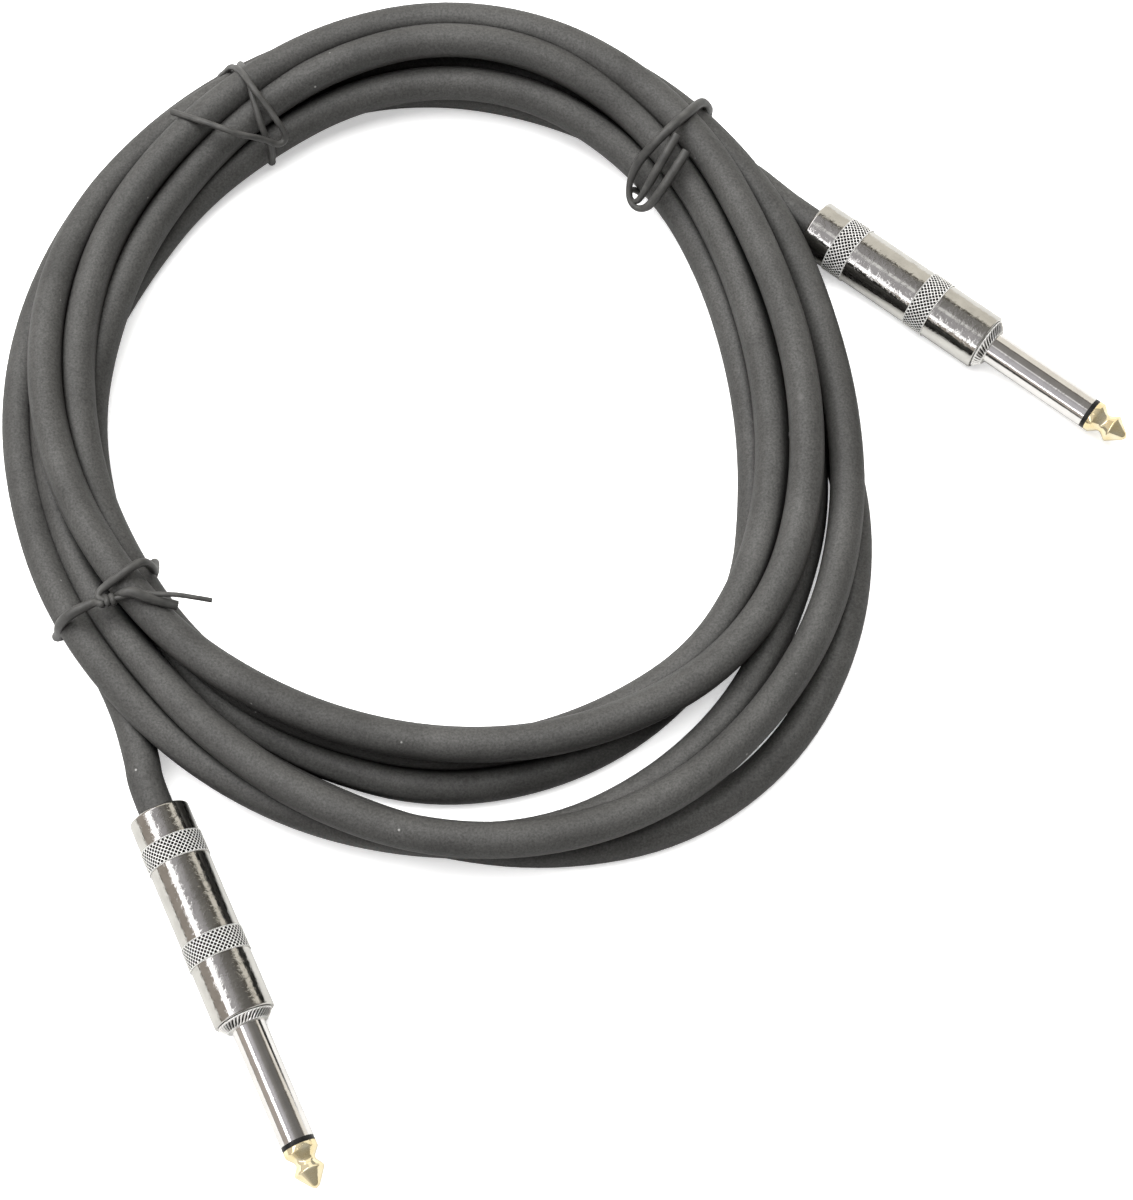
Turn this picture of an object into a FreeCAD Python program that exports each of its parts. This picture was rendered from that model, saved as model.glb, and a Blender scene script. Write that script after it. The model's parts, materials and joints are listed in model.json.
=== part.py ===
import FreeCAD, Part
import math
import os
import re

import Sketcher

# Coiled instrument cable with a straight quarter inch plug on each end.
# Millimetres. +X is to the right and +Y away from the viewer, with +Z up.
# The origin is on the table under the middle of the box round both plugs and the three ties.

SIZES = {
    # Cable
    "cable_d": 6.8,
    "core_d": 2.8,
    "conductor_d": 0.9,
    "pigtail_d": 1.2,
    # Plug shank and tip
    "shank_d": 6.35,
    "shank_bore": 4.2,
    "exposed_length": 32.0,
    "ring_thickness": 0.9,
    "tip_length": 8.1,
    "tip_band": 1.1,
    "neck_d": 3.8,
    "neck_start": 2.6,
    "neck_width": 0.6,
    "head_d": 5.7,
    "head_land": 0.3,
    "head_cone": 3.2,
    "point_d": 1.0,
    "rod_d": 2.5,
    "rivet_d": 3.8,
    "rivet_thickness": 0.6,
    "fit_gap": 0.05,
    # Collar and threaded boss
    "collar_d": 10.4,
    "collar_thickness": 1.5,
    "collar_chamfer": 1.2,
    "boss_d": 8.0,
    "boss_length": 8.0,
    "thread_gap": 0.1,
    "thread_length": 7.5,
    "seat_gap": 0.15,
    # Solder lugs, cable clamp and insulating washer
    "lug_thickness": 0.4,
    "strip_length": 16.0,
    "strip_angle": 50.0,
    "clamp_length": 5.0,
    "clamp_angle": 290.0,
    "washer_d": 5.8,
    "washer_thickness": 1.0,
    "tongue_d": 5.2,
    "tongue_length": 5.5,
    "tongue_angle": 60.0,
    "jacket_reach": 14.5,
    "core_reach": 6.5,
    "conductor_reach": 3.2,
    "solder_length": 1.8,
    "solder_angle": 40.0,
    # Liner tube
    "liner_gap": 0.3,
    "liner_wall": 0.45,
    "liner_play": 0.2,
    "liner_end_gap": 0.3,
    # Barrel
    "barrel_d": 11.6,
    "barrel_length": 42.2,
    "rear_wall": 1.5,
    "rear_rounding": 0.5,
    "front_chamfer": 0.3,
    "cable_gap": 0.35,
    "band_d": 12.0,
    "band_width": 4.5,
    "rear_band_from": 6.2,
    "front_band_from": 26.1,
    "barrel_travel": 6.0,
    "jacket_free": 2.0,
    # Where each barrel's rear rim lies, and the way its tip points
    "plug_one_x": 44.6,
    "plug_one_y": 76.3,
    "plug_one_heading": -37.9,
    "plug_two_x": -81.85,
    "plug_two_y": -46.8,
    "plug_two_heading": -65.2,
    # Coil
    "coil_x": -31.6,
    "coil_y": 34.4,
    "coil_radius": 60.0,
    "coil_stretch": 5.0,
    "stretch_angle": 125.0,
    "coil_fan": 0.3,
    "fan_angle": 320.0,
    "strand_gap": 0.55,
    "coil_turns": 6.375,
    "coil_reversal": 3.25,
    "coil_start_angle": 58.0,
    "coil_climb": 0.5,
    # Free runs from the coil to the plugs
    "lead_one_run": 10.0,
    "lead_two_coil_run": 15.0,
    "lead_two_plug_run": 13.0,
    # Twist ties
    "tie_d": 1.8,
    "tie_gap": 0.2,
    "twist_gap": 0.1,
    "twist_pitch": 8.0,
    "twist_start": 2.2,
    "twist_spread": 3.0,
    "tie_one_angle": 49.5,
    "tie_one_tail": 7.0,
    "tie_two_angle": 120.0,
    "tie_two_tail": 9.0,
    "tie_three_angle": 212.0,
    "tie_three_tail": 9.0,
}

Vector = FreeCAD.Vector
UP = Vector(0, 0, 1)
COIL_SIDES = 8
TIE_SIDES = 6
STATIONS_PER_TURN = 8
TAIL_LEAN = 0.45

doc = FreeCAD.newDocument("InstrumentCable")
sheet = doc.addObject("Spreadsheet::Sheet", "Sizes")
for row, (name, value) in enumerate(SIZES.items(), start=1):
    sheet.set(f"A{row}", name)
    sheet.set(f"B{row}", str(value))
    sheet.setAlias(f"B{row}", name)
doc.recompute()


def size(name):
    return float(sheet.get(name))


def bound(text):
    # The same expression with each size looked up in the sheet
    return re.sub(r"[a-z][a-z_]*[a-z]", r"Sizes.\g<0>", text)


# Stations along a plug, measured from the barrel's rear rim towards the tip
COLLAR_BACK = "(barrel_length + seat_gap)"
COLLAR_FRONT = f"({COLLAR_BACK} + collar_thickness)"
TIP_END = f"({COLLAR_FRONT} + exposed_length)"
RING_FRONT = f"({TIP_END} - tip_length)"
RING_BACK = f"({RING_FRONT} - ring_thickness)"
BOSS_BACK = f"({COLLAR_BACK} - boss_length)"
LUG_BACK = f"({BOSS_BACK} - lug_thickness)"
WASHER_BACK = f"({LUG_BACK} - washer_thickness)"
TONGUE_BACK = f"({WASHER_BACK} - lug_thickness)"
RIVET_BACK = f"({TONGUE_BACK} - rivet_thickness)"
CLAMP_FRONT = f"({BOSS_BACK} - strip_length)"
JACKET_FRONT = f"({BOSS_BACK} - jacket_reach)"
CORE_FRONT = f"({JACKET_FRONT} + core_reach)"
CONDUCTOR_FRONT = f"({CORE_FRONT} + conductor_reach)"
THREAD_BACK = "(barrel_length - thread_length)"

# Radii inside a plug, from the cable outwards
CLAMP_IN = "(cable_d / 2 + fit_gap)"
CLAMP_OUT = f"({CLAMP_IN} + lug_thickness)"
LINER_IN = f"({CLAMP_OUT} + liner_gap)"
LINER_OUT = f"({LINER_IN} + liner_wall)"
CHAMBER = f"({LINER_OUT} + liner_play)"
ROD_HOLE = "(rod_d / 2 + fit_gap)"
TONGUE_IN = "(tongue_d / 2 - lug_thickness)"


def plane_of(body, role):
    for feature in body.Origin.OriginFeatures:
        if feature.Role == role:
            return feature
    return None


def outline(body, name, points):
    # A closed outline of straight lines whose corners are bound to the sheet
    sketch = body.newObject("Sketcher::SketchObject", name)
    sketch.AttachmentSupport = [(plane_of(body, "XY_Plane"), "")]
    sketch.MapMode = "FlatFace"
    corners = [Vector(10 + 3 * i, 5 + 2 * (i % 2), 0) for i in range(len(points))]
    for start, end in zip(corners, corners[1:] + corners[:1]):
        sketch.addGeometry(Part.LineSegment(start, end), False)
    count = len(points)
    for i in range(count):
        sketch.addConstraint(Sketcher.Constraint("Coincident", i, 2, (i + 1) % count, 1))
    for i, (along, radius) in enumerate(points):
        for kind, text in (("DistanceX", along), ("DistanceY", radius)):
            index = sketch.addConstraint(Sketcher.Constraint(kind, -1, 1, i, 1, 1.0))
            sketch.setExpression(f"Constraints[{index}]", bound(text))
    return sketch


def turned(label, outlines):
    # A body turned about its own X axis, from one outline and angle for each feature
    body = doc.addObject("PartDesign::Body", label)
    body.Label = label
    for number, (points, angle) in enumerate(outlines, start=1):
        sketch = outline(body, f"{label}_outline_{number}", points)
        turn = body.newObject("PartDesign::Revolution", f"{label}_turn_{number}")
        turn.Profile = sketch
        turn.ReferenceAxis = (sketch, ["H_Axis"])
        turn.Midplane = True
        if angle == "full":
            turn.Angle = 360
        else:
            turn.setExpression("Angle", bound(angle))
        sketch.Visibility = False
    doc.recompute()
    return body


def block(start, end, inner, outer):
    # A rectangle in a turned outline
    return [(start, inner), (start, outer), (end, outer), (end, inner)]


def rim_edges(feature, along, radius):
    # Names of the circular edges at one place on a turned body
    names = []
    for i, edge in enumerate(feature.Shape.Edges, start=1):
        curve = edge.Curve
        if not isinstance(curve, Part.Circle):
            continue
        if abs(curve.Center.x - along) < 1e-4 and abs(curve.Radius - radius) < 1e-4:
            names.append(f"Edge{i}")
    return names


def make_tip_contact(label):
    return turned(label, [([
        (RIVET_BACK, "0 * rod_d"),
        (RIVET_BACK, "rivet_d / 2"),
        (TONGUE_BACK, "rivet_d / 2"),
        (TONGUE_BACK, "rod_d / 2"),
        (RING_FRONT, "rod_d / 2"),
        (RING_FRONT, "shank_d / 2"),
        (f"{RING_FRONT} + tip_band", "shank_d / 2"),
        (f"{RING_FRONT} + neck_start", "neck_d / 2"),
        (f"{RING_FRONT} + neck_start + neck_width", "neck_d / 2"),
        (f"{TIP_END} - head_cone - head_land", "head_d / 2"),
        (f"{TIP_END} - head_cone", "head_d / 2"),
        (f"{TIP_END} - point_d / 4", "point_d / 2"),
        (TIP_END, "0 * rod_d"),
    ], "full")])


def make_tip_insulator(label):
    return turned(label, [([
        (LUG_BACK, ROD_HOLE),
        (LUG_BACK, "shank_bore / 2 - fit_gap"),
        (RING_BACK, "shank_bore / 2 - fit_gap"),
        (RING_BACK, "shank_d / 2"),
        (RING_FRONT, "shank_d / 2"),
        (RING_FRONT, ROD_HOLE),
    ], "full")])


def make_sleeve(label):
    body = turned(label, [([
        (BOSS_BACK, "shank_bore / 2"),
        (BOSS_BACK, "boss_d / 2"),
        (COLLAR_BACK, "boss_d / 2"),
        (COLLAR_BACK, "collar_d / 2"),
        (COLLAR_FRONT, "collar_d / 2"),
        (COLLAR_FRONT, "shank_d / 2"),
        (RING_BACK, "shank_d / 2"),
        (RING_BACK, "shank_bore / 2"),
    ], "full")])
    collar_front = size("barrel_length") + size("seat_gap") + size("collar_thickness")
    rims = rim_edges(body.Tip, collar_front, size("collar_d") / 2)
    bevel = body.newObject("PartDesign::Chamfer", f"{label}_bevel")
    bevel.Base = (body.Group[-2], rims)
    bevel.setExpression("Size", bound("collar_chamfer"))
    return body


def make_ground_lug(label):
    lug_ring = block(LUG_BACK, BOSS_BACK, "shank_bore / 2 + fit_gap", CLAMP_OUT)
    strip = block(CLAMP_FRONT, BOSS_BACK, CLAMP_IN, CLAMP_OUT)
    clamp = block(f"{CLAMP_FRONT} - clamp_length", CLAMP_FRONT, CLAMP_IN, CLAMP_OUT)
    return turned(label, [(lug_ring, "full"), (strip, "strip_angle"), (clamp, "clamp_angle")])


def make_rear_insulator(label):
    return turned(label, [(block(WASHER_BACK, LUG_BACK, ROD_HOLE, "washer_d / 2"), "full")])


def make_tip_lug(label):
    lug_ring = block(TONGUE_BACK, WASHER_BACK, ROD_HOLE, "tongue_d / 2")
    tongue = block(f"{WASHER_BACK} - tongue_length", WASHER_BACK, TONGUE_IN, "tongue_d / 2")
    return turned(label, [(lug_ring, "full"), (tongue, "tongue_angle")])


def make_core(label):
    return turned(label, [(block(JACKET_FRONT, CORE_FRONT, "0 * core_d", "core_d / 2"), "full")])


def make_conductor(label):
    points = block(CORE_FRONT, CONDUCTOR_FRONT, "0 * core_d", "conductor_d / 2")
    return turned(label, [(points, "full")])


def make_tip_solder(label):
    start = f"{CONDUCTOR_FRONT} - solder_length"
    points = block(start, CONDUCTOR_FRONT, "conductor_d / 2 + fit_gap", f"{TONGUE_IN} - fit_gap")
    return turned(label, [(points, "solder_angle")])


def make_pigtail(label):
    # The twisted shield lies under the ground strip, beside the core
    body = doc.addObject("PartDesign::Body", label)
    body.Label = label
    sketch = body.newObject("Sketcher::SketchObject", f"{label}_section")
    sketch.AttachmentSupport = [(plane_of(body, "YZ_Plane"), "")]
    sketch.MapMode = "FlatFace"
    sketch.addGeometry(Part.Circle(Vector(2, 0, 0), UP, 0.6), False)
    radius = sketch.addConstraint(Sketcher.Constraint("Radius", 0, 0.6))
    sketch.setExpression(f"Constraints[{radius}]", bound("pigtail_d / 2"))
    offset = sketch.addConstraint(Sketcher.Constraint("DistanceX", -1, 1, 0, 3, 2.0))
    sketch.setExpression(f"Constraints[{offset}]", bound("core_d / 2 + fit_gap + pigtail_d / 2"))
    sketch.addConstraint(Sketcher.Constraint("PointOnObject", 0, 3, -1))
    sketch.setExpression("AttachmentOffset.Base.z", bound(JACKET_FRONT))
    pad = body.newObject("PartDesign::Pad", f"{label}_pad")
    pad.Profile = sketch
    pad.setExpression("Length", bound("core_reach"))
    doc.recompute()
    return body


def make_ground_solder(label):
    inner = "core_d / 2 + 2 * fit_gap + pigtail_d"
    start = f"{CORE_FRONT} - solder_length"
    points = block(start, CORE_FRONT, inner, f"{CLAMP_IN} - fit_gap")
    return turned(label, [(points, "solder_angle")])


def make_liner(label):
    start = "rear_wall + liner_end_gap"
    end = f"{THREAD_BACK} - liner_end_gap"
    return turned(label, [(block(start, end, LINER_IN, LINER_OUT), "full")])


def make_barrel(label):
    points = [(f"0 * rear_wall", "cable_d / 2 + cable_gap"), ("0 * rear_wall", "barrel_d / 2")]
    for band in ("rear_band_from", "front_band_from"):
        points += [
            (band, "barrel_d / 2"),
            (band, "band_d / 2"),
            (f"{band} + band_width", "band_d / 2"),
            (f"{band} + band_width", "barrel_d / 2"),
        ]
    points += [
        ("barrel_length", "barrel_d / 2"),
        ("barrel_length", "boss_d / 2 + thread_gap"),
        (THREAD_BACK, "boss_d / 2 + thread_gap"),
        (THREAD_BACK, CHAMBER),
        ("rear_wall", CHAMBER),
        ("rear_wall", "cable_d / 2 + cable_gap"),
    ]
    body = turned(label, [(points, "full")])
    turn = body.Tip
    rounding = body.newObject("PartDesign::Fillet", f"{label}_rounding")
    rounding.Base = (turn, rim_edges(turn, 0, size("barrel_d") / 2))
    rounding.setExpression("Radius", bound("rear_rounding"))
    doc.recompute()
    bevel = body.newObject("PartDesign::Chamfer", f"{label}_bevel")
    rims = rim_edges(rounding, size("barrel_length"), size("barrel_d") / 2)
    bevel.Base = (rounding, rims)
    bevel.setExpression("Size", bound("front_chamfer"))
    return body


def make_jacket_end(label):
    # The stripped end of the cable, held in the clamp and straight for the barrel's travel
    jacket = doc.addObject("Part::Cylinder", label)
    jacket.Label = label
    jacket.setExpression("Radius", bound("cable_d / 2"))
    jacket.setExpression("Height", bound(f"{JACKET_FRONT} + barrel_travel + jacket_free"))
    return jacket


# Each piece of a plug, and the half turn about the plug's axis that puts it above or below
PLUG_PIECES = {
    "tip_contact": (make_tip_contact, 0),
    "tip_insulator": (make_tip_insulator, 0),
    "sleeve": (make_sleeve, 0),
    "ground_lug": (make_ground_lug, 90),
    "rear_insulator": (make_rear_insulator, 0),
    "tip_lug": (make_tip_lug, -90),
    "core_insulation": (make_core, 0),
    "centre_conductor": (make_conductor, 0),
    "tip_solder": (make_tip_solder, -90),
    "shield_pigtail": (make_pigtail, 90),
    "ground_solder": (make_ground_solder, 90),
    "liner": (make_liner, 0),
    "barrel": (make_barrel, 0),
}


def plug_frame(word):
    # Origin at the barrel's rear rim, +X towards the tip, resting on its knurled bands
    base = Vector(size(f"plug_{word}_x"), size(f"plug_{word}_y"), size("band_d") / 2)
    return FreeCAD.Placement(base, FreeCAD.Rotation(UP, size(f"plug_{word}_heading")))


def on_plug(frame, along=0.0, roll=0.0):
    turn = FreeCAD.Rotation(Vector(1, 0, 0), roll)
    return frame.multiply(FreeCAD.Placement(Vector(along, 0, 0), turn))


def make_plug(number, word):
    frame = plug_frame(word)
    made = []
    for name, (make, roll) in PLUG_PIECES.items():
        piece = make(f"{name}_{number}")
        piece.Placement = on_plug(frame, 0, roll)
        made.append(piece)
    jacket = make_jacket_end(f"jacket_end_{number}")
    start = size("barrel_travel") + size("jacket_free")
    lie_down = FreeCAD.Placement(Vector(0, 0, 0), FreeCAD.Rotation(Vector(0, 1, 0), 90))
    jacket.Placement = on_plug(frame, -start).multiply(lie_down)
    made.append(jacket)
    return made


def unit(vector):
    return vector * (1.0 / vector.Length)


def tangent_arc(start, corner, end):
    # An arc that leaves start towards corner and arrives at end from corner
    chord = (start + end) * 0.5
    half = (end - start).Length / 2
    rise = (corner - chord).Length
    if rise < 1e-6:
        return Part.LineSegment(start, end).toShape()
    sag = half * math.tan(math.atan2(rise, half) / 2)
    middle = chord + unit(corner - chord) * sag
    return Part.Arc(start, middle, end).toShape()


def biarc(start, start_way, end, end_way):
    # Two arcs that leave start along start_way and arrive at end along end_way
    across = end - start
    both = start_way + end_way
    spare = 2 * (1 - start_way.dot(end_way))
    lean = across.dot(both)
    if spare < 1e-9:
        reach = across.dot(across) / (2 * lean)
    else:
        reach = (-lean + math.sqrt(lean ** 2 + spare * across.dot(across))) / spare
    first = start + start_way * reach
    second = end - end_way * reach
    middle = (first + second) * 0.5
    return [tangent_arc(start, first, middle), tangent_arc(middle, second, end)]


def smooth_path(stations):
    # Biarcs through stations, each a point and the way the path runs there
    edges = []
    for (start, start_way), (end, end_way) in zip(stations, stations[1:]):
        edges += biarc(start, start_way, end, end_way)
    return edges


def run_path(label, points):
    # Straight runs joined by arcs as large as the two runs allow, and the arcs' radii
    edges = []
    here = points[0]
    radii = []
    for before, corner, after in zip(points, points[1:], points[2:]):
        shorter = min((corner - before).Length, (after - corner).Length)
        reach = 0.45 * shorter
        arc_start = corner + unit(before - corner) * reach
        arc_end = corner + unit(after - corner) * reach
        half_turn = unit(corner - before).getAngle(unit(after - corner)) / 2
        radii.append(reach / math.tan(half_turn))
        edges.append(Part.LineSegment(here, arc_start).toShape())
        edges.append(tangent_arc(arc_start, corner, arc_end))
        here = arc_end
    edges.append(Part.LineSegment(here, points[-1]).toShape())
    print(label, "points", [tuple(round(v, 2) for v in point) for point in points])
    print(label, "bend radii", [round(radius, 1) for radius in radii])
    return edges


def polygon_section(centre, way, across, sides):
    # A regular polygon with a flat side underneath, square to the path
    side = unit(way.cross(UP))
    rise = unit(side.cross(way))
    reach = corner_reach(across, sides)
    corners = []
    for i in range(sides + 1):
        angle = 2 * math.pi * (i + 0.5) / sides
        corners.append(centre + side * (reach * math.cos(angle)) + rise * (reach * math.sin(angle)))
    return Part.makePolygon(corners)


def pipe(label, edges, section):
    # One unbroken solid along the path
    path = Part.Wire(edges)
    solid = path.makePipeShell([section], True, False)
    if solid.Volume < 0:
        solid = solid.reversed()
    feature = doc.addObject("Part::Feature", label)
    feature.Label = label
    feature.Shape = solid
    area = Part.Face(section).Area
    print(label, "length", round(path.Length, 1), "volume over section times length",
          round(solid.Volume / (area * path.Length), 4))
    return feature


def coil_angle(turn):
    return math.radians(size("coil_start_angle") + 360 * turn)


def coil_centre():
    return Vector(size("coil_x"), size("coil_y"), 0)


def step_up(amount):
    held = min(max(amount, 0.0), 1.0)
    return held * held * (3 - 2 * held)


def pitch():
    return size("cable_d") + size("strand_gap")


def corner_reach(across, sides):
    # From the middle of a regular polygon to its corners
    return across / 2 / math.cos(math.pi / sides)


def tie_reach():
    return corner_reach(size("tie_d"), TIE_SIDES)


def tie_clear():
    # Between the middles of a strand and of the tie's wire that goes round it
    return corner_reach(size("cable_d"), COIL_SIDES) + size("tie_gap") + tie_reach()


def lower_level():
    # The lower strands lie on the ties, and the ties on the table
    return tie_reach() + tie_clear()


def coil_radius(turn):
    # Spirals in and out again at a steady rate, a little oval, and fanned out on one side
    angle = coil_angle(turn)
    oval = size("coil_stretch") * math.cos(2 * (angle - math.radians(size("stretch_angle"))))
    facing = max(0.0, math.cos(angle - math.radians(size("fan_angle"))))
    fan = 1 + size("coil_fan") * facing ** 2
    smallest = 0.06
    steps_out = math.hypot(turn - size("coil_reversal"), smallest)
    return size("coil_radius") + oval + pitch() * steps_out * fan


def coil_point(turn):
    # The strand climbs to the upper layer in the half turn where the spiral reverses
    climb = step_up((turn - size("coil_reversal")) / size("coil_climb") + 0.5)
    angle = coil_angle(turn)
    level = lower_level() + pitch() * climb
    radius = coil_radius(turn)
    out = Vector(radius * math.cos(angle), radius * math.sin(angle), level)
    return coil_centre() + out


def coil_way(turn):
    step = 0.002
    return unit(coil_point(turn + step) - coil_point(turn - step))


def level_way(turn):
    way = coil_way(turn)
    return unit(Vector(way.x, way.y, 0))


def coil_stations():
    # The last station is at the coil's upper end
    count = round(size("coil_turns") * STATIONS_PER_TURN)
    turns = [size("coil_turns") * i / count for i in range(count + 1)]
    stations = [(coil_point(turn), coil_way(turn)) for turn in turns]
    stations[0] = (stations[0][0], level_way(0))
    stations[-1] = (stations[-1][0], level_way(turns[-1]))
    return stations


def coil_ends():
    # The coil's two end faces, past a straight stretch of one cable diameter
    straight = size("cable_d")
    first = coil_point(0) - level_way(0) * straight
    last_turn = size("coil_turns")
    last = coil_point(last_turn) + level_way(last_turn) * straight
    return first, last


def make_coil():
    first, last = coil_ends()
    stations = coil_stations()
    edges = [Part.LineSegment(first, stations[0][0]).toShape()]
    edges += smooth_path(stations)
    edges.append(Part.LineSegment(stations[-1][0], last).toShape())
    section = polygon_section(first, stations[0][1], size("cable_d"), COIL_SIDES)
    coil = pipe("coil", edges, section)
    points = []
    for edge in edges:
        points += edge.discretize(Number=14)[:-1]
    print("coil least gap to itself", round(least_gap(points), 3))
    return coil


def least_gap(points):
    # Least distance between points that lie well apart along the cable, less its diameter
    apart = 10 * size("cable_d")
    along = [0.0]
    for start, end in zip(points, points[1:]):
        along.append(along[-1] + (end - start).Length)
    least = apart
    for i, point in enumerate(points):
        for j in range(i + 1, len(points)):
            if along[j] - along[i] > apart:
                least = min(least, (points[j] - point).Length)
    return least - size("cable_d")


def jacket_exit(word):
    # Where the straight cable end behind a barrel stops, and the way the cable leaves
    frame = plug_frame(word)
    reach = size("barrel_travel") + size("jacket_free")
    point = frame.multVec(Vector(-reach, 0, 0))
    return point, frame.Rotation.multVec(Vector(-1, 0, 0))


def lead_one_points():
    # From behind plug one to the coil's lower end
    exit_point, way = jacket_exit("one")
    first = coil_ends()[0]
    run = size("lead_one_run")
    inner = [exit_point + way * run, first - level_way(0) * run]
    return [exit_point] + inner + [first]


def lead_two_points():
    # From the coil's upper end, down off the coil's shoulder, to behind plug two
    exit_point, way = jacket_exit("two")
    last = coil_ends()[1]
    coil_run = level_way(size("coil_turns")) * size("lead_two_coil_run")
    plug_run = way * size("lead_two_plug_run")
    return [last, last + coil_run, exit_point + plug_run, exit_point]


def make_lead(label, points):
    section = Part.Wire(Part.makeCircle(size("cable_d") / 2, points[0], points[1] - points[0]))
    return pipe(label, run_path(label, points), section)


def strands_at(angle_degrees, leads):
    # Radius and height of every strand that a tie at this angle goes round
    found = []
    angle = angle_degrees - size("coil_start_angle")
    for whole in range(-1, int(size("coil_turns")) + 2):
        turn = angle / 360 + whole
        if 0 <= turn <= size("coil_turns"):
            found.append((coil_radius(turn), coil_point(turn).z))
    middle = coil_centre()
    heading = math.radians(angle_degrees)
    out = Vector(math.cos(heading), math.sin(heading), 0)
    along = UP.cross(out)
    for points in leads:
        for start, end in zip(points, points[1:]):
            before = (start - middle).dot(along)
            after = (end - middle).dot(along)
            if before * after <= 0 and before != after:
                crossing = start + (end - start) * (before / (before - after))
                if (crossing - middle).dot(out) > 0:
                    found.append(((crossing - middle).dot(out), crossing.z))
    return found


def tie_stations(angle_degrees, leads, place, tail_length, handed):
    # A rounded loop of wire round the strands, its two ends twisted together on top
    strands = strands_at(angle_degrees, leads)
    clear = tie_clear()
    inner = min(radius for radius, level in strands)
    outer = max(radius for radius, level in strands)
    top = max(level for radius, level in strands) + clear
    bottom = tie_reach()
    angle = math.radians(angle_degrees)
    out = Vector(math.cos(angle), math.sin(angle), 0)
    along = Vector(-math.sin(angle), math.cos(angle), 0) * handed
    middle = coil_centre()

    def at(radius, level):
        return middle + out * radius + UP * level

    twist = inner + (outer - inner) * place
    coil_r = tie_reach() + size("twist_gap")
    axis = at(twist, top + coil_r)
    spread = size("twist_spread")

    def helix(side, quarters):
        # side is +1 for the end on the outer side and -1 for the inner one
        phase = math.pi / 2 * quarters
        shift = out * (side * coil_r * math.cos(phase)) + UP * (side * coil_r * math.sin(phase))
        reach = size("twist_start") + size("twist_pitch") * quarters / 4
        point = axis + shift + along * reach
        turning = UP * (side * coil_r * math.cos(phase)) - out * (side * coil_r * math.sin(phase))
        way = unit(turning * (math.pi / 2) + along * (size("twist_pitch") / 4))
        return point, way

    def tail(side):
        # A free end parts from the other and settles on the strands
        point, way = helix(side, 3)
        lean = along * tail_length + out * (side * tail_length * TAIL_LEAN)
        end = Vector(point.x + lean.x, point.y + lean.y, top)
        return end, unit(lean)

    inner_end = [tail(-1)] + [helix(-1, quarter) for quarter in (3, 2, 1, 0)]
    outer_end = [helix(1, quarter) for quarter in (0, 1, 2, 3)] + [tail(1)]
    inner_end = [(point, way * -1) for point, way in inner_end]
    loop = [
        (at(twist - spread, top), out * -1),
        (at(inner, top), out * -1),
        (at(inner - clear, top - clear), UP * -1),
        (at(inner - clear, bottom + clear), UP * -1),
        (at(inner, bottom), out),
        (at(outer, bottom), out),
        (at(outer + clear, bottom + clear), UP),
        (at(outer + clear, top - clear), UP),
        (at(outer, top), out * -1),
        (at(twist + spread, top), out * -1),
    ]
    return inner_end + loop + outer_end


def make_tie(label, stations):
    edges = smooth_path(stations)
    section = polygon_section(stations[0][0], stations[0][1], size("tie_d"), TIE_SIDES)
    return pipe(label, edges, section)


def make_ties(leads):
    # For each tie, how far out across the strands its ends are twisted, and to which side
    ties = []
    settings = {"one": (0.22, -1), "two": (0.7, 1), "three": (0.55, -1)}
    for number, (word, (place, handed)) in enumerate(settings.items(), start=1):
        angle = size(f"tie_{word}_angle")
        stations = tie_stations(angle, leads, place, size(f"tie_{word}_tail"), handed)
        ties.append(make_tie(f"twist_tie_{number}", stations))
    return ties


pieces = make_plug(1, "one") + make_plug(2, "two")
pieces.append(make_coil())
lead_one = lead_one_points()
lead_two = lead_two_points()
pieces.append(make_lead("lead_1", lead_one))
pieces.append(make_lead("lead_2", lead_two))
pieces += make_ties([lead_one, lead_two])
doc.recompute()

for item in doc.Objects:
    if "Invalid" in item.State or "Error" in item.State:
        raise RuntimeError(f"{item.Label} failed to recompute")
os.makedirs("parts", exist_ok=True)
for piece in pieces:
    shape = piece.Shape
    if shape.isNull() or not shape.isValid() or len(shape.Solids) != 1:
        raise RuntimeError(f"{piece.Label} is not one valid solid")
    shape.exportStep(os.path.join("parts", f"{piece.Label}.step"))

box = FreeCAD.BoundBox()
for piece in pieces:
    if piece.Label not in ("coil", "lead_1", "lead_2"):
        box.add(piece.Shape.optimalBoundingBox(True, False))
print("plugs and ties lie between", [round(v, 2) for v in (box.XMin, box.YMin, box.ZMin)],
      "and", [round(v, 2) for v in (box.XMax, box.YMax, box.ZMax)])
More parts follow.
